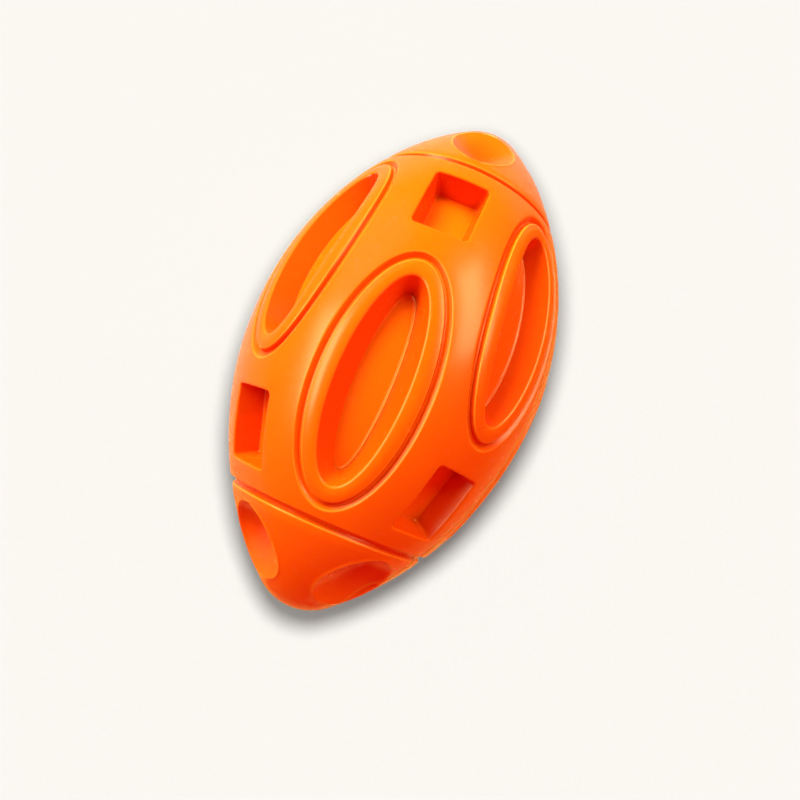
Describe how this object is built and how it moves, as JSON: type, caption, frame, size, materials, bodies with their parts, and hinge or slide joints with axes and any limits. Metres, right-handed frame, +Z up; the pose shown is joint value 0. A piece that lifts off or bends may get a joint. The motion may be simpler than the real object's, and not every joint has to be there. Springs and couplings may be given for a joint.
{
  "type": "squeaky dog toy",
  "caption": "Hollow rubber rugby-ball chew toy with oval and square tooth pockets, ringed noses and a plug squeaker in a pocket on the underside.",
  "frame": {"origin": "centre of the toy, midway between the tips", "axes": "+X along the toy's long axis, +Z up through the middle of one pocket column as the toy lies at rest, +Y across it"},
  "size_m": [0.14, 0.0788, 0.0788],
  "materials": {
    "rubber": "satin",
    "cement": "satin",
    "white_plastic": "satin",
    "grey_plastic": "matte",
    "reed_brass": "polished"
  },
  "bodies": {
    "toy": {"upper_half_shell": "rubber", "lower_half_shell": "rubber", "seam_bond": "cement", "squeaker_housing": "white_plastic", "squeaker_cap": "white_plastic", "reed_seat": "grey_plastic", "reed_wedge": "grey_plastic", "reed_tail": "reed_brass"},
    "tongue": {"reed_tongue": "reed_brass"}
  },
  "joints": [
    {"name": "reed_flex", "type": "hinge", "parent": "toy", "child": "tongue", "pos_m": [-0.01112, 0, -0.02334], "axis": [0, -1, 0], "range_deg": [-1, 8], "stiffness_Nm_per_rad": 0.0001}
  ]
}
